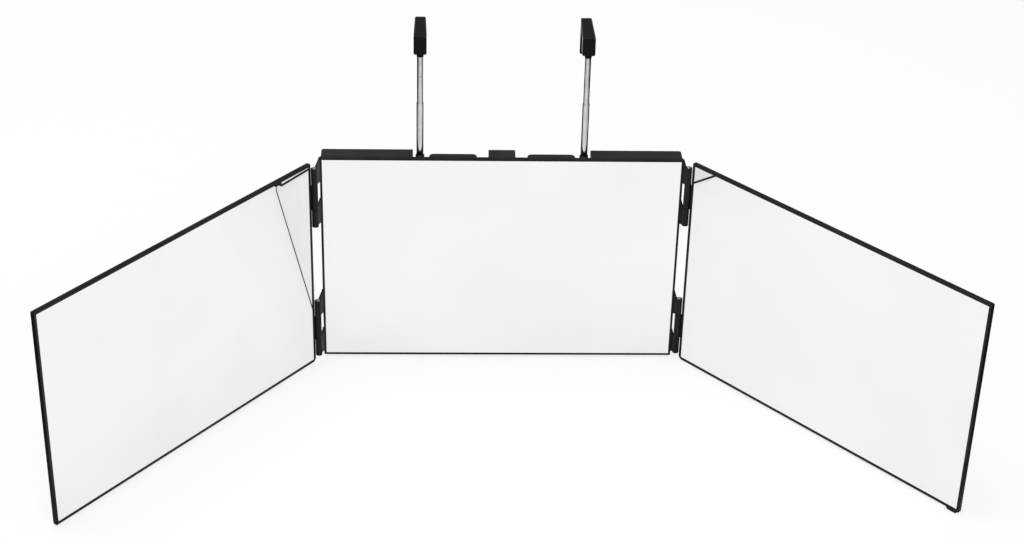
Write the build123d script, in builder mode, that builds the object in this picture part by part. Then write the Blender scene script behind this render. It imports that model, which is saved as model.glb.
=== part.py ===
from build123d import *
from math import cos, radians, sin, tan
import os

os.makedirs("parts", exist_ok=True)

# A three-panel folding mirror that hangs over a door on two telescopic rods with hooks.
# It is modelled first about the middle of the centre panel's lower front edge,
# with the wings swung forward and the rods drawn out, and then placed over its own footprint.

# Panels
centre_width = 360.0
panel_height = 230.0
centre_rim = 2.2
centre_frame_depth = 4.2
centre_depth = 20.5
wing_width = 356.0
wing_rim = 2.9
wing_thickness = 5.0
panel_corner_radius = 1.2
wing_inner_corner_radius = 4.5
rim_edge_bevel = 0.4
wing_back_edge_bevel = 0.9

# Mirror glass and the foam tape behind it
glass_thickness = 2.0
glass_clearance = 0.15
glass_recess = 0.4
tape_thickness = 0.6
tape_width = 18.0
tape_margin = 14.0

# Hinges at the two inner edges of the centre panel
left_wing_angle = 51.0
right_wing_angle = 48.0
hinge_side_offset = 4.8
right_hinge_forward = 3.2
stacked_wing_gap = 1.5
wing_face_behind_axis = 0.8
barrel_radius = 3.3
hinge_length = 65.0
hinge_end_margin = 6.5
middle_knuckle_length = 27.0
knuckle_gap = 0.35
barrel_to_wing_gap = 0.5
arm_thickness = 2.6
arm_rise = 5.5
arm_relief = 0.5
pin_radius = 1.25
pin_clearance = 0.05
pin_head_radius = 2.2
pin_head_height = 0.9
pin_head_bevel = 0.5

# Finger tab under the outer corner of the right wing
tab_drop = 2.4
tab_root_length = 13.5
tab_tip_length = 9.2
tab_corner_distance = 1.4
tab_back_inset = 1.0

# Rear housing and the bays in its top
housing_side_inset = 1.2
housing_wall = 2.0
housing_corner_radius = 2.5
housing_edge_bevel = 0.7
bay_floor_drop = 14.0
rod_notch_inner = 72.1
rod_notch_width = 16.1
ledge_inner = 25.0
ledge_depth = 6.6
ledge_shoulder_radius = 5.0
middle_tab_width = 26.4
ledge_skin = 1.6

# Screws that hold the housing to the centre frame
screw_boss_radius = 3.6
screw_shank_radius = 1.4
screw_head_radius = 2.8
screw_length = 12.0
screw_hole_clearance = 0.06
screw_edge_distance = 12.0
countersink_angle = 90.0
screw_recess_length = 3.2
screw_recess_width = 0.7
screw_recess_depth = 1.2

# Telescopic rods
rod_spacing = 162.4
upper_rod_radius = 3.0
upper_rod_exposed = 49.9
middle_tube_radius = 3.5
middle_tube_wall = 0.3
middle_tube_exposed = 56.9
mouth_length = 2.0
guide_tube_radius = 4.05
guide_tube_wall = 0.35
guide_tube_end_margin = 3.0
slide_clearance = 0.05
swage_length = 16.0
swage_play = 0.3
dimple_radius = 1.0
dimple_depth = 0.8
first_dimple_below_neck = 5.3
dimple_spacing = 14.7

# Bush at the mouth of each guide tube
bush_radius = 4.4
bush_top_drop = 1.5
bush_mouth_length = 2.0
bush_edge_bevel = 0.5
bush_fit_clearance = 0.03

# Clips that hold the guide tubes to the rear wall
clip_thickness = 1.2
clip_width = 10.0
clip_flange_width = 7.0
clip_flange_thickness = 2.4
clip_fit_clearance = 0.04
clip_end_distance = 14.0
clip_screw_radius = 1.2
clip_screw_head_radius = 2.3
clip_screw_head_height = 1.2
clip_screw_length = 4.0

# Hooks
door_gap = 36.0
strap_thickness = 5.8
strap_tip_width = 10.6
block_width = 12.6
block_height = 12.4
block_front_reach = 5.8
block_rear_reach = 4.7
hook_nose_radius = 4.5
hook_back_radius = 1.6
hook_edge_bevel = 0.9
leg_thickness = 3.5
leg_length = 38.2
leg_tip_radius = 1.5
hook_inner_radius = 2.0
neck_radius = 3.45
neck_length = 4.0
socket_depth = 13.0

# Levels and depths that follow from the sizes above
left_hinge_forward = right_hinge_forward + wing_thickness + stacked_wing_gap
pocket_depth = glass_recess + glass_thickness + tape_thickness
housing_back = centre_depth
housing_front = centre_frame_depth
housing_half_width = centre_width / 2 - housing_side_inset
bay_floor = panel_height - bay_floor_drop
rod_notch_outer = rod_notch_inner + rod_notch_width
rod_depth = (housing_front + housing_back) / 2
rod_x = rod_spacing / 2
bush_top = panel_height - bush_top_drop
middle_tube_top = bush_top + middle_tube_exposed
middle_tube_foot = bush_top - bush_mouth_length - swage_play - swage_length
middle_tube_bore = middle_tube_radius - middle_tube_wall
guide_tube_bore = guide_tube_radius - guide_tube_wall
guide_tube_top = bush_top - bush_mouth_length
guide_tube_foot = middle_tube_foot - middle_tube_exposed - guide_tube_end_margin
neck_foot = middle_tube_top + upper_rod_exposed
upper_rod_foot = middle_tube_top - mouth_length - swage_play - swage_length
upper_rod_top = neck_foot + socket_depth
block_foot = neck_foot + neck_length
block_top = block_foot + block_height
strap_top = block_top + strap_thickness
leg_front = rod_depth + block_rear_reach + door_gap
leg_back = leg_front + leg_thickness
inner_gap = barrel_radius + barrel_to_wing_gap
end_knuckle_length = (hinge_length - middle_knuckle_length) / 2
pin_bore = pin_radius + pin_clearance
hinge_feet = [hinge_end_margin, panel_height - hinge_end_margin - hinge_length]

left_axis = Vector(-centre_width / 2 - hinge_side_offset, -left_hinge_forward, 0)
right_axis = Vector(centre_width / 2 + hinge_side_offset, -right_hinge_forward, 0)
left_out = Vector(-cos(radians(left_wing_angle)), -sin(radians(left_wing_angle)), 0)
left_back = Vector(-sin(radians(left_wing_angle)), cos(radians(left_wing_angle)), 0)
right_out = Vector(cos(radians(right_wing_angle)), -sin(radians(right_wing_angle)), 0)
right_back = Vector(sin(radians(right_wing_angle)), cos(radians(right_wing_angle)), 0)

# The origin is under the middle of the box that holds the whole object.
wing_reach = inner_gap + wing_width
back_bevel = wing_back_edge_bevel
left_corner = left_axis + left_out * wing_reach
left_corner = left_corner + left_back * (wing_face_behind_axis + wing_thickness - back_bevel)
right_corner = right_axis + right_out * wing_reach
right_corner = right_corner + right_back * (wing_face_behind_axis + wing_thickness - back_bevel)
front_corner = left_axis + left_out * (wing_reach - rim_edge_bevel) + left_back * wing_face_behind_axis
box_left = left_corner.X
box_right = right_corner.X
box_front = front_corner.Y
box_back = leg_back
to_origin = Location((-(box_left + box_right) / 2, -(box_front + box_back) / 2, tab_drop))


def save(piece, name):
    """Place a finished piece over the footprint, name it and write it."""
    placed = piece.moved(to_origin)
    placed.label = name
    export_step(placed, "parts/" + name + ".step")


def upright(depth):
    """Return an upright plane, parallel to the centre panel, at this depth behind its face."""
    return Plane(origin=(0, depth, 0), x_dir=(-1, 0, 0), z_dir=(0, 1, 0))


def sideways(x):
    """Return an upright plane across the panel, with the depth to its right, at this x."""
    return Plane(origin=(x, 0, 0), x_dir=(0, 1, 0), z_dir=(1, 0, 0))


# Hinge arms: each carries an end knuckle forward from the side wall of the centre frame
with BuildPart() as hinge_arms:
    for side, axis in ((-1, left_axis), (1, right_axis)):
        wall_x = side * centre_width / 2
        inner_x = side * (centre_width / 2 - centre_rim / 2)
        run = Vector(wall_x - axis.X, rim_edge_bevel - axis.Y, 0)
        run_length = run.length
        run = run.normalized()
        across = Vector(side * run.Y, -side * run.X, 0) * (arm_thickness / 2)
        for hinge_foot in hinge_feet:
            for knuckle_foot in (hinge_foot, hinge_foot + hinge_length - end_knuckle_length):
                knuckle_top = knuckle_foot + end_knuckle_length
                with BuildSketch(Plane.XY.offset(knuckle_foot)):
                    with BuildLine():
                        Polyline(
                            (axis.X + across.X, axis.Y + across.Y),
                            (wall_x + across.X, rim_edge_bevel + across.Y),
                            (wall_x + across.X, centre_frame_depth),
                            (inner_x, centre_frame_depth),
                            (inner_x, rim_edge_bevel),
                            (wall_x - across.X, rim_edge_bevel - across.Y),
                            (axis.X - across.X, axis.Y - across.Y),
                            close=True,
                        )
                    make_face()
                extrude(amount=end_knuckle_length + arm_rise)
                # The top edge slopes down from the frame and clears the knuckle above and the pin head
                slope_plane = Plane(origin=axis, x_dir=run, z_dir=(run.Y, -run.X, 0))
                with BuildSketch(slope_plane):
                    with BuildLine():
                        Polyline(
                            (-2 * barrel_radius, knuckle_top),
                            (barrel_radius + arm_relief, knuckle_top),
                            (run_length, knuckle_top + arm_rise),
                            (run_length, knuckle_top + 2 * arm_rise),
                            (-2 * barrel_radius, knuckle_top + 2 * arm_rise),
                            close=True,
                        )
                    make_face()
                extrude(amount=3 * barrel_radius, both=True, mode=Mode.SUBTRACT)

# Centre frame: a shallow tray round the glass, with a boss for each housing screw
boss_x = centre_width / 2 - housing_side_inset - screw_edge_distance
boss_low = screw_edge_distance
boss_high = bay_floor - screw_edge_distance
boss_points = [(-boss_x, boss_low), (boss_x, boss_low), (-boss_x, boss_high), (boss_x, boss_high)]
boss_length = housing_back - housing_wall - centre_frame_depth

with BuildPart() as centre_frame:
    with BuildSketch(upright(0)):
        with Locations((0, panel_height / 2)):
            RectangleRounded(centre_width, panel_height, panel_corner_radius)
    extrude(amount=centre_frame_depth)
    chamfer(centre_frame.faces().sort_by(Axis.Y)[0].edges(), length=rim_edge_bevel)
    with BuildSketch(upright(0)):
        with Locations((0, panel_height / 2)):
            Rectangle(centre_width - 2 * centre_rim, panel_height - 2 * centre_rim)
    extrude(amount=pocket_depth, mode=Mode.SUBTRACT)
    with BuildSketch(upright(centre_frame_depth)):
        with Locations(*boss_points):
            Circle(screw_boss_radius)
    extrude(amount=boss_length)
    add(hinge_arms.part)
    for axis in (left_axis, right_axis):
        for hinge_foot in hinge_feet:
            upper_foot = hinge_foot + hinge_length - end_knuckle_length
            for knuckle_foot in (hinge_foot, upper_foot):
                with BuildSketch(Plane.XY.offset(knuckle_foot)):
                    with Locations((axis.X, axis.Y)):
                        Circle(barrel_radius)
                extrude(amount=end_knuckle_length)
            with BuildSketch(Plane.XY.offset(hinge_foot)):
                with Locations((axis.X, axis.Y)):
                    Circle(pin_bore)
            extrude(amount=hinge_length, mode=Mode.SUBTRACT)
    with BuildSketch(upright(housing_back - screw_length)):
        with Locations(*boss_points):
            Circle(screw_shank_radius + screw_hole_clearance)
    extrude(amount=screw_length, mode=Mode.SUBTRACT)
save(centre_frame.part, "centre_frame")

# Centre mirror glass, set a little below the rim
with BuildPart() as centre_mirror:
    with BuildSketch(upright(glass_recess)):
        with Locations((0, panel_height / 2)):
            Rectangle(
                centre_width - 2 * (centre_rim + glass_clearance),
                panel_height - 2 * (centre_rim + glass_clearance),
            )
    extrude(amount=glass_thickness)
save(centre_mirror.part, "centre_mirror")

# Strips of double-sided foam tape between the glass and the floor of the tray
centre_tape_x = centre_width / 2 - centre_rim - tape_margin - tape_width / 2
with BuildPart() as centre_tape:
    with BuildSketch(upright(glass_recess + glass_thickness)):
        with Locations(
            (-centre_tape_x, panel_height / 2),
            (0, panel_height / 2),
            (centre_tape_x, panel_height / 2),
        ):
            Rectangle(tape_width, panel_height - 2 * (centre_rim + tape_margin))
    extrude(amount=tape_thickness)
save(centre_tape.part, "centre_tape")

# Rear housing: a shell open to the front, with two bays in its top round a middle tab.
# Each bay keeps a half-depth ledge behind the frame, and a notch on either side of the ledge.
bay_inner = middle_tab_width / 2
bay_middle = (rod_notch_outer + bay_inner) / 2
ledge_middle = (ledge_inner + rod_notch_inner) / 2
ledge_width = rod_notch_inner - ledge_inner
ledge_back = housing_front + ledge_depth
housing_depth = housing_back - housing_front
shoulder_width = housing_half_width - rod_notch_outer
shoulder_middle = (housing_half_width + rod_notch_outer) / 2
clip_low = guide_tube_foot + clip_end_distance
clip_high = bay_floor - housing_wall - clip_end_distance
clip_screw_x = guide_tube_radius + clip_fit_clearance + clip_thickness + clip_flange_width / 2
clip_screw_points = [
    (side * (rod_x - clip_screw_x), level) for side in (-1, 1) for level in (clip_low, clip_high)
]
clip_screw_bite = clip_screw_length - clip_flange_thickness

with BuildPart() as rear_housing:
    with BuildSketch(upright(housing_front)):
        with Locations((0, panel_height / 2)):
            Rectangle(2 * housing_half_width, panel_height)
        with Locations((-bay_middle, panel_height), (bay_middle, panel_height)):
            Rectangle(rod_notch_outer - bay_inner, 2 * bay_floor_drop, mode=Mode.SUBTRACT)
    extrude(amount=housing_depth)
    back_outline = rear_housing.faces().sort_by(Axis.Y)[-1].edges().filter_by(Axis.Z).sort_by(Axis.X)
    fillet([back_outline[0], back_outline[-1]], radius=housing_corner_radius)
    back_face = rear_housing.faces().sort_by(Axis.Y)[-1]
    chamfer(back_face.edges(), length=housing_edge_bevel)
    with BuildSketch(Plane.XY.offset(bay_floor)):
        with Locations(
            (-ledge_middle, housing_front + ledge_depth / 2),
            (ledge_middle, housing_front + ledge_depth / 2),
        ):
            Rectangle(ledge_width, ledge_depth)
    extrude(amount=bay_floor_drop)
    ledge_edges = [
        edge
        for edge in rear_housing.edges().filter_by(Axis.Z)
        if abs(edge.center().Y - ledge_back) < 0.01
    ]
    fillet(ledge_edges, radius=ledge_shoulder_radius)
    with BuildSketch(upright(housing_front)):
        with Locations((0, bay_floor / 2)):
            Rectangle(2 * (housing_half_width - housing_wall), bay_floor - 2 * housing_wall)
        with Locations((-shoulder_middle, panel_height / 2), (shoulder_middle, panel_height / 2)):
            Rectangle(shoulder_width - 2 * housing_wall, panel_height - 2 * housing_wall)
        with Locations((0, panel_height / 2)):
            Rectangle(middle_tab_width - 2 * housing_wall, panel_height - 2 * housing_wall)
    extrude(amount=housing_depth - housing_wall, mode=Mode.SUBTRACT)
    with BuildSketch(upright(housing_front)):
        with Locations((-ledge_middle, bay_floor), (ledge_middle, bay_floor)):
            Rectangle(ledge_width - 2 * ledge_skin, 2 * (bay_floor_drop - ledge_skin))
    extrude(amount=ledge_depth - ledge_skin, mode=Mode.SUBTRACT)
    with BuildSketch(Plane.XY.offset(bay_floor - housing_wall)):
        with Locations((-rod_x, rod_depth), (rod_x, rod_depth)):
            Circle(guide_tube_radius + bush_fit_clearance)
    extrude(amount=housing_wall, mode=Mode.SUBTRACT)
    with Locations(upright(housing_back)):
        with Locations(*boss_points):
            CounterSinkHole(
                radius=screw_shank_radius + screw_hole_clearance,
                counter_sink_radius=screw_head_radius + screw_hole_clearance,
                depth=housing_wall,
                counter_sink_angle=countersink_angle,
            )
    with BuildSketch(upright(housing_back - housing_wall)):
        with Locations(*clip_screw_points):
            Circle(clip_screw_radius + screw_hole_clearance)
    extrude(amount=clip_screw_bite, mode=Mode.SUBTRACT)
save(rear_housing.part, "rear_housing")

# Countersunk screws, flush with the back of the housing
screw_head_depth = (screw_head_radius - screw_shank_radius) / tan(radians(countersink_angle / 2))
with BuildPart() as housing_screws:
    with BuildSketch(upright(housing_back - screw_length)):
        with Locations(*boss_points):
            Circle(screw_shank_radius)
    extrude(amount=screw_length)
    with Locations(upright(housing_back - screw_head_depth / 2)):
        with Locations(*boss_points):
            Cone(screw_shank_radius, screw_head_radius, screw_head_depth)
    # Cross recess for the driver
    with BuildSketch(upright(housing_back)):
        with Locations(*boss_points):
            Rectangle(screw_recess_length, screw_recess_width)
            Rectangle(screw_recess_width, screw_recess_length)
    extrude(amount=-screw_recess_depth, mode=Mode.SUBTRACT)
save(housing_screws.part, "housing_screws")

# Clips round the guide tubes, each screwed by its one flange to the inside of the rear wall
clip_ring_radius = guide_tube_radius + clip_fit_clearance + clip_thickness
clip_back = housing_back - housing_wall
clip_span = clip_ring_radius + clip_flange_width
with BuildPart() as tube_clips:
    for level in (clip_low, clip_high):
        with BuildSketch(Plane.XY.offset(level - clip_width / 2)):
            for side in (-1, 1):
                with Locations((side * rod_x, rod_depth)):
                    Circle(clip_ring_radius)
                with Locations((side * rod_x, (rod_depth + clip_back) / 2)):
                    Rectangle(2 * clip_ring_radius, clip_back - rod_depth)
                with Locations((side * (rod_x - clip_span / 2), clip_back - clip_flange_thickness / 2)):
                    Rectangle(clip_span, clip_flange_thickness)
                with Locations((side * rod_x, rod_depth)):
                    Circle(guide_tube_radius + clip_fit_clearance, mode=Mode.SUBTRACT)
        extrude(amount=clip_width)
    with BuildSketch(upright(clip_back - clip_flange_thickness)):
        with Locations(*clip_screw_points):
            Circle(clip_screw_radius + screw_hole_clearance)
    extrude(amount=clip_flange_thickness, mode=Mode.SUBTRACT)
save(tube_clips.part, "tube_clips")

# Pan-head screws of the clips
with BuildPart() as clip_screws:
    with BuildSketch(upright(clip_back - clip_flange_thickness)):
        with Locations(*clip_screw_points):
            Circle(clip_screw_radius)
    extrude(amount=clip_screw_length)
    with BuildSketch(upright(clip_back - clip_flange_thickness)):
        with Locations(*clip_screw_points):
            Circle(clip_screw_head_radius)
    extrude(amount=-clip_screw_head_height)
save(clip_screws.part, "clip_screws")

# Hinge pins, each with a bright head on the top knuckle
with BuildPart() as hinge_pins:
    for axis in (left_axis, right_axis):
        for hinge_foot in hinge_feet:
            with BuildSketch(Plane.XY.offset(hinge_foot)):
                with Locations((axis.X, axis.Y)):
                    Circle(pin_radius)
            extrude(amount=hinge_length)
            with BuildSketch(Plane.XY.offset(hinge_foot + hinge_length)):
                with Locations((axis.X, axis.Y)):
                    Circle(pin_head_radius)
            extrude(amount=pin_head_height)
            chamfer(hinge_pins.edges(Select.LAST).sort_by(Axis.Z)[-1], length=pin_head_bevel)
save(hinge_pins.part, "hinge_pins")

# Wings: each is a thin tray with its glass, and two knuckles between the centre frame's knuckles
wings = (
    ("left", -1, left_axis, left_out, left_back),
    ("right", 1, right_axis, right_out, right_back),
)
wing_middle = inner_gap + wing_width / 2
for name, side, axis, out, back in wings:
    # In these planes X runs along the wing, outward on the left wing and inward on the right one
    face = Plane(
        origin=axis + back * wing_face_behind_axis,
        x_dir=out * -side,
        z_dir=back,
    )
    with BuildPart() as wing_frame:
        with BuildSketch(face):
            with Locations((-side * wing_middle, panel_height / 2)):
                Rectangle(wing_width, panel_height)
            corners = vertices().sort_by_distance((-side * inner_gap, 0, 0))
            fillet(corners[0], radius=wing_inner_corner_radius)
            corners = vertices().sort_by_distance((-side * inner_gap, 0, 0))
            fillet(corners[2:], radius=panel_corner_radius)
        extrude(amount=wing_thickness)
        front_face = wing_frame.faces().sort_by(Axis(axis, back))[0]
        chamfer(front_face.edges(), length=rim_edge_bevel)
        back_face = wing_frame.faces().sort_by(Axis(axis, back))[-1]
        chamfer(back_face.edges(), length=wing_back_edge_bevel)
        with BuildSketch(face):
            with Locations((-side * wing_middle, panel_height / 2)):
                Rectangle(wing_width - 2 * wing_rim, panel_height - 2 * wing_rim)
        extrude(amount=pocket_depth, mode=Mode.SUBTRACT)
        # Knuckles with the webs that carry them
        for hinge_foot in hinge_feet:
            knuckle_foot = hinge_foot + end_knuckle_length + knuckle_gap
            knuckle_length = middle_knuckle_length - 2 * knuckle_gap
            web_start = axis + back * wing_face_behind_axis
            web_end = web_start + out * (inner_gap + wing_rim / 2)
            web_end_back = axis + back * barrel_radius + out * (inner_gap + wing_rim / 2)
            web_start_back = axis + back * barrel_radius
            with BuildSketch(Plane.XY.offset(knuckle_foot)):
                with Locations((axis.X, axis.Y)):
                    Circle(barrel_radius)
                with BuildLine():
                    Polyline(
                        (web_start.X, web_start.Y),
                        (web_end.X, web_end.Y),
                        (web_end_back.X, web_end_back.Y),
                        (web_start_back.X, web_start_back.Y),
                        close=True,
                    )
                make_face()
                with Locations((axis.X, axis.Y)):
                    Circle(pin_bore, mode=Mode.SUBTRACT)
            extrude(amount=knuckle_length)
        if name == "right":
            # Finger tab, for swinging the inner wing open
            tab_end = -side * (wing_reach - tab_corner_distance)
            tab_start = tab_end + side * tab_root_length
            tab_slope = side * (tab_root_length - tab_tip_length) / 2
            with BuildSketch(face.offset(rim_edge_bevel)):
                with BuildLine():
                    Polyline(
                        (tab_start, rim_edge_bevel),
                        (tab_start, 0),
                        (tab_start - tab_slope, -tab_drop),
                        (tab_end + tab_slope, -tab_drop),
                        (tab_end, 0),
                        (tab_end, rim_edge_bevel),
                        close=True,
                    )
                make_face()
            extrude(amount=wing_thickness - rim_edge_bevel - tab_back_inset)
    save(wing_frame.part, name + "_wing_frame")

    with BuildPart() as wing_mirror:
        with BuildSketch(face.offset(glass_recess)):
            with Locations((-side * wing_middle, panel_height / 2)):
                Rectangle(
                    wing_width - 2 * (wing_rim + glass_clearance),
                    panel_height - 2 * (wing_rim + glass_clearance),
                )
        extrude(amount=glass_thickness)
    save(wing_mirror.part, name + "_wing_mirror")

    wing_tape_x = wing_width / 2 - wing_rim - tape_margin - tape_width / 2
    with BuildPart() as wing_tape:
        with BuildSketch(face.offset(glass_recess + glass_thickness)):
            with Locations(
                (-side * wing_middle - wing_tape_x, panel_height / 2),
                (-side * wing_middle, panel_height / 2),
                (-side * wing_middle + wing_tape_x, panel_height / 2),
            ):
                Rectangle(tape_width, panel_height - 2 * (wing_rim + tape_margin))
        extrude(amount=tape_thickness)
    save(wing_tape.part, name + "_wing_tape")

# Telescopic rods and hooks, alike on both sides
for name, side in (("left", -1), ("right", 1)):
    x = side * rod_x

    with BuildPart() as guide_tube:
        with BuildSketch(Plane.XY.offset(guide_tube_foot)):
            with Locations((x, rod_depth)):
                Circle(guide_tube_radius)
                Circle(guide_tube_bore, mode=Mode.SUBTRACT)
        extrude(amount=guide_tube_top - guide_tube_foot)
    save(guide_tube.part, name + "_guide_tube")

    # The bush caps the guide tube and wipes the middle tube
    with BuildPart() as tube_bush:
        with BuildSketch(Plane.XY.offset(bay_floor)):
            with Locations((x, rod_depth)):
                Circle(bush_radius)
        extrude(amount=bush_top - bay_floor)
        chamfer(tube_bush.edges().sort_by(Axis.Z)[-1], length=bush_edge_bevel)
        with BuildSketch(Plane.XY.offset(bay_floor)):
            with Locations((x, rod_depth)):
                Circle(guide_tube_radius + bush_fit_clearance)
        extrude(amount=guide_tube_top - bay_floor, mode=Mode.SUBTRACT)
        with BuildSketch(Plane.XY.offset(guide_tube_top)):
            with Locations((x, rod_depth)):
                Circle(middle_tube_radius + slide_clearance)
        extrude(amount=bush_mouth_length, mode=Mode.SUBTRACT)
    save(tube_bush.part, name + "_tube_bush")

    # The foot of the middle tube is swaged out and its mouth is rolled in
    with BuildPart() as middle_tube:
        with BuildSketch(Plane.XY.offset(middle_tube_foot)):
            with Locations((x, rod_depth)):
                Circle(middle_tube_radius)
        extrude(amount=middle_tube_top - middle_tube_foot)
        with BuildSketch(Plane.XY.offset(middle_tube_foot)):
            with Locations((x, rod_depth)):
                Circle(guide_tube_bore - slide_clearance)
        extrude(amount=swage_length)
        with BuildSketch(Plane.XY.offset(middle_tube_foot)):
            with Locations((x, rod_depth)):
                Circle(middle_tube_bore)
        extrude(amount=middle_tube_top - mouth_length - middle_tube_foot, mode=Mode.SUBTRACT)
        with BuildSketch(Plane.XY.offset(middle_tube_top - mouth_length)):
            with Locations((x, rod_depth)):
                Circle(upper_rod_radius + slide_clearance)
        extrude(amount=mouth_length, mode=Mode.SUBTRACT)
    save(middle_tube.part, name + "_middle_tube")

    # The upper rod, with two small dimples on its front below the hook
    with BuildPart() as upper_rod:
        with BuildSketch(Plane.XY.offset(upper_rod_foot)):
            with Locations((x, rod_depth)):
                Circle(upper_rod_radius)
        extrude(amount=upper_rod_top - upper_rod_foot)
        with BuildSketch(Plane.XY.offset(upper_rod_foot)):
            with Locations((x, rod_depth)):
                Circle(middle_tube_bore - slide_clearance)
        extrude(amount=swage_length)
        with BuildSketch(upright(rod_depth - upper_rod_radius)):
            with Locations(
                (-x, neck_foot - first_dimple_below_neck),
                (-x, neck_foot - first_dimple_below_neck - dimple_spacing),
            ):
                Circle(dimple_radius)
        extrude(amount=dimple_depth, mode=Mode.SUBTRACT)
    save(upper_rod.part, name + "_upper_rod")

    # The hook: the side view of block, strap and leg, trimmed to the tapered plan of the strap
    block_front = rod_depth - block_front_reach
    block_back = rod_depth + block_rear_reach
    leg_foot = strap_top - leg_length
    with BuildPart() as hook:
        with BuildSketch(sideways(x - block_width / 2)):
            with BuildLine():
                Polyline(
                    (block_front, block_foot),
                    (block_back, block_foot),
                    (block_back, block_top),
                    (leg_front, block_top),
                    (leg_front, leg_foot),
                    (leg_back, leg_foot),
                    (leg_back, strap_top),
                    (block_front, strap_top),
                    close=True,
                )
            make_face()
            # In this sketch X is the depth and Y the height
            inner_corners = [
                corner
                for corner in vertices()
                if abs(corner.Y - block_top) < 0.01 and block_back - 0.01 < corner.X < leg_front + 0.01
            ]
            fillet(inner_corners, radius=hook_inner_radius)
            tip_corners = [corner for corner in vertices() if abs(corner.Y - leg_foot) < 0.01]
            fillet(tip_corners, radius=leg_tip_radius)
            top_corners = [corner for corner in vertices() if abs(corner.Y - strap_top) < 0.01]
            fillet(max(top_corners, key=lambda corner: corner.X), radius=hook_back_radius)
            fillet(min(top_corners, key=lambda corner: corner.X), radius=hook_nose_radius)
        extrude(amount=block_width)
        # Seen from above, the strap narrows from the block to the leg
        with BuildSketch(Plane.XY.offset(leg_foot)):
            with BuildLine():
                Polyline(
                    (x - block_width / 2, block_front),
                    (x - block_width / 2, block_back),
                    (x - strap_tip_width / 2, leg_back),
                    (x + strap_tip_width / 2, leg_back),
                    (x + block_width / 2, block_back),
                    (x + block_width / 2, block_front),
                    close=True,
                )
            make_face()
        extrude(amount=strap_top - leg_foot, mode=Mode.INTERSECT)
        side_faces = [face for face in hook.faces() if abs(face.normal_at().X) > 0.9]
        # The seam between the straight and the narrowing side above the block stays as it is
        side_edges = [
            edge
            for face in side_faces
            for edge in face.edges()
            if abs(edge.center().Y - block_back) > 0.01 or edge.center().Z < block_top
        ]
        chamfer(side_edges, length=hook_edge_bevel)
        with BuildSketch(Plane.XY.offset(neck_foot)):
            with Locations((x, rod_depth)):
                Circle(neck_radius)
        extrude(amount=neck_length)
        with BuildSketch(Plane.XY.offset(neck_foot)):
            with Locations((x, rod_depth)):
                Circle(upper_rod_radius + slide_clearance)
        extrude(amount=socket_depth + slide_clearance, mode=Mode.SUBTRACT)
    save(hook.part, name + "_hook")
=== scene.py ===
"""Looks of a three-panel folding makeup mirror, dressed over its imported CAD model.

Everything is in metres, in the frame of the CAD model: X to the right, Y to the back, Z up.
"""

import logging
import math
from dataclasses import dataclass
from enum import Enum
from typing import Any

import bpy
import numpy as np
from mathutils import Matrix, Vector


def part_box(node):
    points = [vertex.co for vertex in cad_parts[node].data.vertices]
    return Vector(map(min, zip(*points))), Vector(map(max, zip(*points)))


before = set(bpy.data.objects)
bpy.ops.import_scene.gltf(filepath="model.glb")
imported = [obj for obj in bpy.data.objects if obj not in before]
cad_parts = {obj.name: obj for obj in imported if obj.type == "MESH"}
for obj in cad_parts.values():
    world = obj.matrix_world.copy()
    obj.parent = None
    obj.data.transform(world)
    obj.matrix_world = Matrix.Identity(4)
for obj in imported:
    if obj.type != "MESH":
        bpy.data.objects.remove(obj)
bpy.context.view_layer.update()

LOG = logging.getLogger("makeup_mirror")
MILLIMETRE = 0.001


def linear(hex_colour: str) -> tuple[float, float, float, float]:
    """Turn an sRGB hex value into the linear colour that a shader takes.

    Args:
        hex_colour: Six hex digits with a leading hash, such as "#1A1A1C".

    Returns:
        Red, green, blue and an alpha of 1, all linear.
    """
    encoded = np.array([int(hex_colour[i:i + 2], 16) for i in (1, 3, 5)]) / 255.0
    low = encoded / 12.92
    high = ((encoded + 0.055) / 1.055) ** 2.4
    red, green, blue = np.where(encoded <= 0.04045, low, high)
    return float(red), float(green), float(blue), 1.0


def add_node(
    tree: bpy.types.NodeTree,
    kind: str,
    settings: dict[str, Any] | None = None,
    inputs: dict[str | int, Any] | None = None,
) -> bpy.types.Node:
    """Add one node, set it up and link what feeds it.

    Args:
        tree: The node tree that gets the node.
        kind: The node's type name.
        settings: Attributes of the node itself.
        inputs: A constant, or an output socket to link, for each input socket.

    Returns:
        The new node.
    """
    node = tree.nodes.new(kind)
    for name, value in (settings or {}).items():
        setattr(node, name, value)
    for socket, value in (inputs or {}).items():
        if isinstance(value, bpy.types.NodeSocket):
            tree.links.new(value, node.inputs[socket])
        else:
            node.inputs[socket].default_value = value
    return node


def new_material(name: str) -> tuple[bpy.types.Material, bpy.types.NodeTree]:
    """Make an empty node material.

    Args:
        name: The material's name.

    Returns:
        The material and its node tree, with no node in it.
    """
    material = bpy.data.materials.new(name)
    material.use_nodes = True
    material.node_tree.nodes.clear()
    return material, material.node_tree


def object_pattern(
    tree: bpy.types.NodeTree,
    size_mm: float,
    detail: float,
    stretch: tuple[float, float, float] = (1.0, 1.0, 1.0),
) -> bpy.types.NodeSocket:
    """Lay a noise over a piece in its Object coordinates.

    Args:
        tree: The node tree.
        size_mm: Real size of one grain of the pattern, in millimetres.
        detail: How many finer layers the noise has.
        stretch: Factor on the pattern's frequency along X, Y and Z.

    Returns:
        The noise's value, from 0 to 1 with most of it near a half.
    """
    place = add_node(tree, "ShaderNodeTexCoord")
    turned = add_node(
        tree, "ShaderNodeMapping", inputs={"Vector": place.outputs["Object"], "Scale": stretch}
    )
    noise = add_node(
        tree,
        "ShaderNodeTexNoise",
        inputs={
            "Vector": turned.outputs["Vector"],
            "Scale": 1.0 / (size_mm * MILLIMETRE),
            "Detail": detail,
            "Roughness": 0.55,
        },
    )
    return noise.outputs["Fac"]


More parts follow.
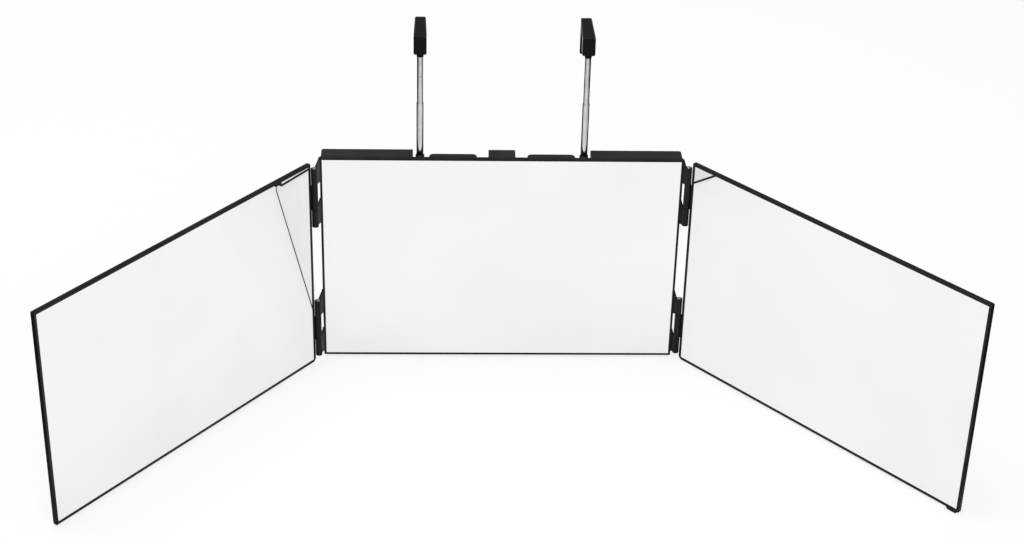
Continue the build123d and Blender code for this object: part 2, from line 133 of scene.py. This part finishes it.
@dataclass(frozen=True)
class Mottle:
    """Patches of two colours and two degrees of gloss, both from one noise.

    Only the middle of the noise counts, from MIDDLE_LOW to MIDDLE_HIGH, as little lies past it.
    """

    colour: str
    other_colour: str
    patch_mm: float
    detail: float
    MIDDLE_LOW = 0.35
    MIDDLE_HIGH = 0.65

    def spread(
        self, tree: bpy.types.NodeTree, noise: bpy.types.NodeSocket, low: float, high: float
    ) -> bpy.types.NodeSocket:
        """Spread the middle of the noise from one value to another.

        Args:
            tree: The node tree.
            noise: The noise's value.
            low: Result at MIDDLE_LOW.
            high: Result at MIDDLE_HIGH.

        Returns:
            The mapped value.
        """
        middle = {"From Min": self.MIDDLE_LOW, "From Max": self.MIDDLE_HIGH}
        ends = {"To Min": low, "To Max": high}
        mapped = add_node(tree, "ShaderNodeMapRange", inputs={"Value": noise} | middle | ends)
        return mapped.outputs["Result"]

    def paint(
        self, tree: bpy.types.NodeTree
    ) -> tuple[bpy.types.NodeSocket, bpy.types.NodeSocket]:
        """Mix the two colours in patches.

        Args:
            tree: The node tree.

        Returns:
            The colour, and the noise that it follows.
        """
        noise = object_pattern(tree, self.patch_mm, self.detail)
        colours = {6: linear(self.colour), 7: linear(self.other_colour)}
        mixed = add_node(
            tree,
            "ShaderNodeMix",
            settings={"data_type": "RGBA"},
            inputs={0: self.spread(tree, noise, 0.0, 1.0)} | colours,
        )
        return mixed.outputs[2], noise


@dataclass(frozen=True)
class MouldedPlastic:
    """Black ABS or acetal, injection moulded in a steel tool.

    The tool's texture gives a fine even grain, and handling leaves slightly smoother patches.
    """

    name: str
    mottle: Mottle
    roughness: float
    smoothest: float
    specular: float
    grain_mm: float
    grain_depth_mm: float
    grain_strength: float = 0.6

    def make(self) -> bpy.types.Material:
        """Make the material.

        Returns:
            The node material.
        """
        material, tree = new_material(self.name)
        colour, patches = self.mottle.paint(tree)
        bump = add_node(
            tree,
            "ShaderNodeBump",
            inputs={
                "Height": object_pattern(tree, self.grain_mm, detail=3.0),
                "Distance": self.grain_depth_mm * MILLIMETRE,
                "Strength": self.grain_strength,
            },
        )
        shader = add_node(
            tree,
            "ShaderNodeBsdfPrincipled",
            inputs={
                "Base Color": colour,
                "Roughness": self.mottle.spread(tree, patches, self.roughness, self.smoothest),
                "Specular IOR Level": self.specular,
                "Normal": bump.outputs["Normal"],
            },
        )
        add_node(tree, "ShaderNodeOutputMaterial", inputs={"Surface": shader.outputs["BSDF"]})
        return material


@dataclass(frozen=True)
class SilveredGlass:
    """Float glass with silver on its back, as mirrors are made.

    It reflects without any blur, a few percent darker than what it shows and faintly cloudy.
    """

    name: str
    mottle: Mottle

    def make(self) -> bpy.types.Material:
        """Make the material.

        Returns:
            The node material.
        """
        material, tree = new_material(self.name)
        colour, _ = self.mottle.paint(tree)
        shader = add_node(
            tree,
            "ShaderNodeBsdfPrincipled",
            inputs={"Base Color": colour, "Metallic": 1.0, "Roughness": 0.0},
        )
        add_node(tree, "ShaderNodeOutputMaterial", inputs={"Surface": shader.outputs["BSDF"]})
        return material


@dataclass(frozen=True)
class DrawnMetal:
    """Bare or plated metal that was drawn or turned, with fine lines along its length."""

    name: str
    mottle: Mottle
    roughness: float
    dullest: float
    line_mm: float
    line_depth_mm: float
    line_stretch: float = 0.02
    line_strength: float = 0.5

    def make(self) -> bpy.types.Material:
        """Make the material.

        Returns:
            The node material.
        """
        material, tree = new_material(self.name)
        colour, dull = self.mottle.paint(tree)
        along = (1.0, 1.0, self.line_stretch)
        bump = add_node(
            tree,
            "ShaderNodeBump",
            inputs={
                "Height": object_pattern(tree, self.line_mm, detail=2.0, stretch=along),
                "Distance": self.line_depth_mm * MILLIMETRE,
                "Strength": self.line_strength,
            },
        )
        shader = add_node(
            tree,
            "ShaderNodeBsdfPrincipled",
            inputs={
                "Base Color": colour,
                "Metallic": 1.0,
                "Roughness": self.mottle.spread(tree, dull, self.roughness, self.dullest),
                "Normal": bump.outputs["Normal"],
            },
        )
        add_node(tree, "ShaderNodeOutputMaterial", inputs={"Surface": shader.outputs["BSDF"]})
        return material


@dataclass(frozen=True)
class FoamTape:
    """White polyethylene foam, blown into small closed cells, with painted shade in their hollows."""

    name: str
    colour: str
    shaded_colour: str
    cell_mm: float
    cell_depth_mm: float = 0.1
    cell_strength: float = 0.6
    roughness: float = 0.95

    def make(self) -> bpy.types.Material:
        """Make the material.

        Returns:
            The node material.
        """
        material, tree = new_material(self.name)
        place = add_node(tree, "ShaderNodeTexCoord")
        cells = add_node(
            tree,
            "ShaderNodeTexVoronoi",
            inputs={
                "Vector": place.outputs["Object"],
                "Scale": 1.0 / (self.cell_mm * MILLIMETRE),
            },
        )
        cell_depth_and_shade = cells.outputs["Distance"]
        # Painted shade: the hollows of the cells are painted darker
        colour = add_node(
            tree,
            "ShaderNodeMix",
            settings={"data_type": "RGBA"},
            inputs={0: cell_depth_and_shade, 6: linear(self.shaded_colour), 7: linear(self.colour)},
        )
        bump = add_node(
            tree,
            "ShaderNodeBump",
            inputs={
                "Height": cell_depth_and_shade,
                "Distance": self.cell_depth_mm * MILLIMETRE,
                "Strength": self.cell_strength,
            },
        )
        shader = add_node(
            tree,
            "ShaderNodeBsdfPrincipled",
            inputs={
                "Base Color": colour.outputs[2],
                "Roughness": self.roughness,
                "Normal": bump.outputs["Normal"],
            },
        )
        add_node(tree, "ShaderNodeOutputMaterial", inputs={"Surface": shader.outputs["BSDF"]})
        return material


def moulded(colour: str, worn_colour: str) -> Mottle:
    """Give a moulding its handled patches.

    Args:
        colour: Hex colour of the fresh skin.
        worn_colour: Hex colour where hands have smoothed it.

    Returns:
        Patches 45 mm across.
    """
    return Mottle(colour, worn_colour, patch_mm=45.0, detail=4.0)


def plated(colour: str, dull_colour: str) -> Mottle:
    """Give a metal its duller patches.

    Args:
        colour: Hex colour of the bright metal.
        dull_colour: Hex colour where it has dulled.

    Returns:
        Patches 9 mm across.
    """
    return Mottle(colour, dull_colour, patch_mm=9.0, detail=4.0)


class Finish(Enum):
    """The finishes of the mirror, each made once."""

    # Frames: satin, so that the thin rims stay near black over a white table
    RIM_ABS = MouldedPlastic(
        "satin black ABS", moulded("#141416", "#1F1F22"), 0.44, 0.33, 0.20, 0.9, 0.03
    )
    # Rear shell: a coarser spark-eroded grain, which catches the light from above as dark grey
    SHELL_ABS = MouldedPlastic(
        "matt black ABS shell", moulded("#19191B", "#242427"), 0.55, 0.44, 0.36, 1.1, 0.05
    )
    # Hooks: thick mouldings, darkest of all on their upright faces, with a smoother skin
    HOOK_ABS = MouldedPlastic(
        "semi-gloss black ABS", moulded("#101011", "#1A1A1C"), 0.30, 0.22, 0.07, 0.8, 0.015
    )
    # Bushes and clips: acetal, self-lubricating and a little waxy
    BUSH_ACETAL = MouldedPlastic(
        "black acetal", moulded("#101011", "#1A1A1B"), 0.32, 0.26, 0.45, 0.8, 0.01
    )
    MIRROR = SilveredGlass("silvered float glass", Mottle("#F4F4F5", "#EFF0F1", 140.0, 2.0))
    # Tubes: bright plating over drawing lines too fine to see one by one
    CHROME = DrawnMetal(
        "chromium plated tube", plated("#D8D9DB", "#C9CBCE"), 0.07, 0.13, 0.35, 0.004
    )
    # Pins and clip screws: zinc, bluish and duller than chrome
    ZINC = DrawnMetal(
        "bright zinc plated steel", plated("#D0D1D2", "#B4B6B8"), 0.24, 0.36, 0.3, 0.01
    )
    # Housing screws: blackened steel that still looks like metal beside the plastic
    BLACK_OXIDE = DrawnMetal(
        "black oxide steel", plated("#2B2B2D", "#38383A"), 0.34, 0.46, 0.3, 0.01
    )
    FOAM = FoamTape("white foam tape", "#EDEBE4", "#CFCDC6", 0.8)


class Workshop:
    """Makes each finish once and puts it on the nodes."""

    def __init__(self) -> None:
        """Start with no material made."""
        self.made: dict[Finish, bpy.types.Material] = {}

    def material(self, finish: Finish) -> bpy.types.Material:
        """Look a finish's material up, and make it at its first use.

        Args:
            finish: The finish.

        Returns:
            Its material.
        """
        if finish not in self.made:
            self.made[finish] = finish.value.make()
        return self.made[finish]

    def dress(self, node: str, finish: Finish) -> None:
        """Give all faces of a CAD node one finish.

        Args:
            node: The node's name.
            finish: The finish.
        """
        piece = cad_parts[node]
        piece.data.materials.clear()
        piece.data.materials.append(self.material(finish))
        LOG.info("%s: %s, %d faces", node, finish.value.name, len(piece.data.polygons))


@dataclass
class MirrorPanel:
    """One panel: its moulded frame, its glass and the tape behind the glass."""

    name: str
    shop: Workshop

    def build(self) -> None:
        """Dress the three nodes of the panel."""
        self.shop.dress(self.name + "_frame", Finish.RIM_ABS)
        self.shop.dress(self.name + "_mirror", Finish.MIRROR)
        self.shop.dress(self.name + "_tape", Finish.FOAM)


@dataclass
class RearShell:
    """The housing behind the centre panel, with its screws and clips."""

    shop: Workshop

    def build(self) -> None:
        """Dress the shell and what holds it."""
        self.shop.dress("rear_housing", Finish.SHELL_ABS)
        self.shop.dress("housing_screws", Finish.BLACK_OXIDE)
        self.shop.dress("tube_clips", Finish.BUSH_ACETAL)
        self.shop.dress("clip_screws", Finish.ZINC)


@dataclass
class Hinges:
    """The pins that join the wings to the centre panel."""

    shop: Workshop

    def build(self) -> None:
        """Dress the pins."""
        self.shop.dress("hinge_pins", Finish.ZINC)


@dataclass
class TelescopicHook:
    """One rod in its three stages, with the hook on its top."""

    side: str
    shop: Workshop

    def build(self) -> None:
        """Dress the tubes, the bush and the hook of this side."""
        self.shop.dress(self.side + "_guide_tube", Finish.CHROME)
        self.shop.dress(self.side + "_tube_bush", Finish.BUSH_ACETAL)
        self.shop.dress(self.side + "_middle_tube", Finish.CHROME)
        self.shop.dress(self.side + "_upper_rod", Finish.CHROME)
        self.shop.dress(self.side + "_hook", Finish.HOOK_ABS)


@dataclass(frozen=True)
class Lamp:
    """A square softbox that faces the middle of the mirror."""

    name: str
    place: tuple[float, float, float]
    width: float
    power: float
    aim: tuple[float, float, float] = (0.0, 0.0, 0.15)

    def build(self) -> None:
        """Hang the lamp."""
        light = bpy.data.lights.new(self.name, "AREA")
        light.shape = "SQUARE"
        light.size = self.width
        light.energy = self.power
        lamp = bpy.data.objects.new(self.name, light)
        bpy.context.scene.collection.objects.link(lamp)
        facing = (Vector(self.aim) - Vector(self.place)).to_track_quat("-Z", "Y")
        lamp.matrix_world = Matrix.Translation(self.place) @ facing.to_matrix().to_4x4()


@dataclass(frozen=True)
class Viewpoint:
    """The camera of the photograph, found from the corners of the panels.

    Its place is given from the lower edge of the centre glass, at the middle of its front.
    """

    from_glass_mm: tuple[float, float, float] = (-69.3, -1846.1, 1203.25)
    pitch_deg: float = 30.858
    yaw_deg: float = 2.537
    roll_deg: float = 1.545
    focal_pixels: float = 2116.3
    image_width: int = 1024
    sensor_mm: float = 36.0

    def directions(self) -> np.ndarray:
        """Work out where the camera's right, up and back point.

        The level right, the view ahead and the down at a right angle to both come from yaw and
        pitch, and the roll then turns right and down about the view.

        Returns:
            The three directions as the columns of a turn.
        """
        pitch, yaw, roll = (math.radians(a) for a in (self.pitch_deg, self.yaw_deg, self.roll_deg))
        heading = np.array([math.sin(yaw), math.cos(yaw), 0.0])
        level = np.array([math.cos(yaw), -math.sin(yaw), 0.0])
        upright = np.array([0.0, 0.0, 1.0])
        ahead = heading * math.cos(pitch) - upright * math.sin(pitch)
        down = -heading * math.sin(pitch) - upright * math.cos(pitch)
        right = math.cos(roll) * level - math.sin(roll) * down
        lower = math.sin(roll) * level + math.cos(roll) * down
        return np.column_stack([right, -lower, -ahead])

    def build(self) -> None:
        """Set up the scene's camera."""
        lowest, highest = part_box("centre_mirror")
        glass = np.array([(lowest.x + highest.x) / 2, lowest.y, lowest.z])
        placing = np.eye(4)
        placing[:3, :3] = self.directions()
        placing[:3, 3] = glass + np.array(self.from_glass_mm) * MILLIMETRE
        camera = bpy.data.cameras.new("photo camera")
        camera.sensor_fit = "HORIZONTAL"
        camera.sensor_width = self.sensor_mm
        camera.lens = self.sensor_mm * self.focal_pixels / self.image_width
        camera.clip_start = 0.01
        holder = bpy.data.objects.new("photo camera", camera)
        bpy.context.scene.collection.objects.link(holder)
        holder.matrix_world = Matrix(placing.tolist())
        bpy.context.scene.camera = holder


@dataclass(frozen=True)
class ToneRamp:
    """A smooth change of tone with the distance on the floor, in metres."""

    start: float
    end: float
    before: float
    after: float

    def along(
        self, tree: bpy.types.NodeTree, distance: bpy.types.NodeSocket
    ) -> bpy.types.NodeSocket:
        """Let the tone follow a distance.

        Args:
            tree: The node tree.
            distance: The distance that it changes with.

        Returns:
            The tone.
        """
        ramp = add_node(
            tree,
            "ShaderNodeMapRange",
            settings={"interpolation_type": "SMOOTHSTEP"},
            inputs={
                "Value": distance,
                "From Min": self.start,
                "From Max": self.end,
                "To Min": self.before,
                "To Max": self.after,
            },
        )
        return ramp.outputs["Result"]


def direct_rays(tree: bpy.types.NodeTree) -> tuple[bpy.types.Node, bpy.types.NodeSocket]:
    """Tell what the camera sees from what lights the object.

    The camera sees the studio by itself, in a mirror without blur, or through glass.

    Args:
        tree: The node tree.

    Returns:
        The light path, and a value of 1 for what the camera sees.
    """
    ray = add_node(tree, "ShaderNodeLightPath")
    seen = ray.outputs["Is Camera Ray"]
    for other in ("Is Singular Ray", "Is Transmission Ray"):
        either = add_node(
            tree,
            "ShaderNodeMath",
            settings={"operation": "MAXIMUM"},
            inputs={0: seen, 1: ray.outputs[other]},
        )
        seen = either.outputs[0]
    return ray, seen


@dataclass(frozen=True)
class Studio:
    """A plain white table and room, with soft light from above.

    What the camera and the mirrors see of it is white. Tubes and glossy plastic, which blur what
    they reflect, see a painted reflection instead: the floor glows for them as a table with dark
    surroundings, as in a real room.
    """

    floor_reach: float = 5.0
    # White to the eye: dimmer near the object, where the lamps and its shadow add to it
    floor_glow: ToneRamp = ToneRamp(1.6, 4.2, 0.80, 1.0)
    floor_shading: float = 0.26
    floor_bounce: float = 0.8
    room_light: float = 0.30
    # Painted reflection of the table in front of the mirror, across and then from front to back
    table_reflection_sides: ToneRamp = ToneRamp(0.26, 0.58, 1.0, 0.04)
    table_reflection_back_edge: ToneRamp = ToneRamp(-0.06, 0.26, 1.0, 0.05)
    # Painted highlight: a bright strip behind the rods that the tubes reflect, across and then from
    # front to back
    highlight_strip_sides: ToneRamp = ToneRamp(0.10, 0.34, 0.9, 0.0)
    highlight_strip_front_edge: ToneRamp = ToneRamp(0.3, 0.5, 0.0, 1.0)
    # Painted reflection of the rest of the table far behind, which shows on the backs of the panels
    rear_table_reflection: ToneRamp = ToneRamp(0.75, 1.25, 0.0, 0.9)
    lamps: tuple[Lamp, ...] = (
        Lamp("overhead softbox", (-0.5, 0.2, 2.6), 1.8, 34.0),
        Lamp("front softbox", (0.9, -2.4, 1.9), 1.4, 16.0),
    )

    def build(self) -> None:
        """Lay the floor, set the world and hang the lamps."""
        self.lay_floor()
        self.set_world()
        for lamp in self.lamps:
            lamp.build()

    def painted_reflection_tone(
        self, tree: bpy.types.NodeTree, place: bpy.types.NodeSocket
    ) -> bpy.types.NodeSocket:
        """Painted reflection: tone of the room round the table that the floor glows with, as polished
        tube and gloss reflect it.

        Each of the table and the strip is its tone across times its tone from front to back, and
        the brightest of them and of the rear table shows.

        Args:
            tree: The node tree.
            place: Position on the floor, in metres.

        Returns:
            Brightness from nearly 0 to 1.
        """
        split = add_node(tree, "ShaderNodeSeparateXYZ", inputs={0: place})
        sideways = add_node(
            tree, "ShaderNodeMath", settings={"operation": "ABSOLUTE"}, inputs={0: split.outputs["X"]}
        )
        across = sideways.outputs[0]
        backwards = split.outputs["Y"]
        tone = self.rear_table_reflection.along(tree, backwards)
        patches = (
            (self.table_reflection_sides, self.table_reflection_back_edge),
            # The second patch is the painted highlight strip for the tubes
            (self.highlight_strip_sides, self.highlight_strip_front_edge),
        )
        for sides, edge in patches:
            patch = add_node(
                tree,
                "ShaderNodeMath",
                settings={"operation": "MULTIPLY"},
                inputs={0: sides.along(tree, across), 1: edge.along(tree, backwards)},
            )
            brightest = add_node(
                tree,
                "ShaderNodeMath",
                settings={"operation": "MAXIMUM"},
                inputs={0: patch.outputs[0], 1: tone},
            )
            tone = brightest.outputs[0]
        return tone

    def floor_mesh(self) -> bpy.types.Mesh:
        """Make a flat square of two by two faces, level with the object's foot.

        Its points are a grid of count by count over the square, and each face joins four
        neighbours.

        Returns:
            The mesh.
        """
        count = 3
        steps = np.linspace(-self.floor_reach, self.floor_reach, count)
        x, y = np.meshgrid(steps, steps)
        points = np.column_stack([x.ravel(), y.ravel(), np.zeros(x.size)])
        cells = np.arange(count - 1)
        corner = (cells[:, None] * count + cells[None, :]).reshape(-1, 1)
        faces = corner + np.array([0, 1, count + 1, count])
        mesh = bpy.data.meshes.new("floor")
        mesh.from_pydata(points.tolist(), [], faces.tolist())
        return mesh

    def lay_floor(self) -> None:
        """Lay a flat white floor that keeps a faint shadow of the mirror."""
        mesh = self.floor_mesh()
        floor = bpy.data.objects.new("floor", mesh)
        bpy.context.scene.collection.objects.link(floor)

        material, tree = new_material("white table")
        ray, direct = direct_rays(tree)
        place = add_node(tree, "ShaderNodeTexCoord").outputs["Object"]
        # What the camera and the sharp mirrors see: a white table with a faint shadow
        away = add_node(
            tree, "ShaderNodeVectorMath", settings={"operation": "LENGTH"}, inputs={0: place}
        )
        glow = add_node(
            tree,
            "ShaderNodeEmission",
            inputs={
                "Color": linear("#FFFFFF"),
                "Strength": self.floor_glow.along(tree, away.outputs["Value"]),
            },
        )
        grey = (self.floor_shading,) * 3 + (1.0,)
        shade = add_node(tree, "ShaderNodeBsdfDiffuse", inputs={"Color": grey})
        seen = add_node(
            tree, "ShaderNodeAddShader", inputs={0: glow.outputs[0], 1: shade.outputs[0]}
        )
        # What lights the mirror from below, and the painted reflection that chrome and gloss see
        pale = (self.floor_bounce,) * 3 + (1.0,)
        bounce = add_node(tree, "ShaderNodeBsdfDiffuse", inputs={"Color": pale})
        # Painted reflection: a glow of the floor that only blurred glossy rays see
        room = add_node(
            tree, "ShaderNodeEmission", inputs={"Strength": self.painted_reflection_tone(tree, place)}
        )
        blurred = add_node(
            tree,
            "ShaderNodeMath",
            settings={"operation": "SUBTRACT", "use_clamp": True},
            inputs={0: ray.outputs["Is Glossy Ray"], 1: ray.outputs["Is Singular Ray"]},
        )
        lit = add_node(
            tree,
            "ShaderNodeMixShader",
            inputs={0: blurred.outputs[0], 1: bounce.outputs[0], 2: room.outputs[0]},
        )
        surface = add_node(
            tree,
            "ShaderNodeMixShader",
            inputs={0: direct, 1: lit.outputs[0], 2: seen.outputs[0]},
        )
        add_node(tree, "ShaderNodeOutputMaterial", inputs={"Surface": surface.outputs[0]})
        mesh.materials.append(material)

    def set_world(self) -> None:
        """Make the room white to the eye and soft grey as a light."""
        world = bpy.data.worlds.new("white room")
        bpy.context.scene.world = world
        world.use_nodes = True
        tree = world.node_tree
        tree.nodes.clear()
        _, direct = direct_rays(tree)
        strength = add_node(
            tree,
            "ShaderNodeMapRange",
            inputs={"Value": direct, "To Min": self.room_light, "To Max": 1.0},
        )
        sky = add_node(
            tree,
            "ShaderNodeBackground",
            inputs={"Color": linear("#FFFFFF"), "Strength": strength.outputs["Result"]},
        )
        add_node(tree, "ShaderNodeOutputWorld", inputs={"Surface": sky.outputs[0]})


def main() -> None:
    """Build the studio, then dress the mirror from its centre outwards."""
    logging.basicConfig(level=logging.INFO, format="%(message)s")
    bpy.context.scene.view_settings.view_transform = "Standard"
    Viewpoint().build()
    Studio().build()
    shop = Workshop()
    for panel in ("centre", "left_wing", "right_wing"):
        MirrorPanel(panel, shop).build()
    RearShell(shop).build()
    Hinges(shop).build()
    for side in ("left", "right"):
        TelescopicHook(side, shop).build()


if __name__ == "__main__":
    main()
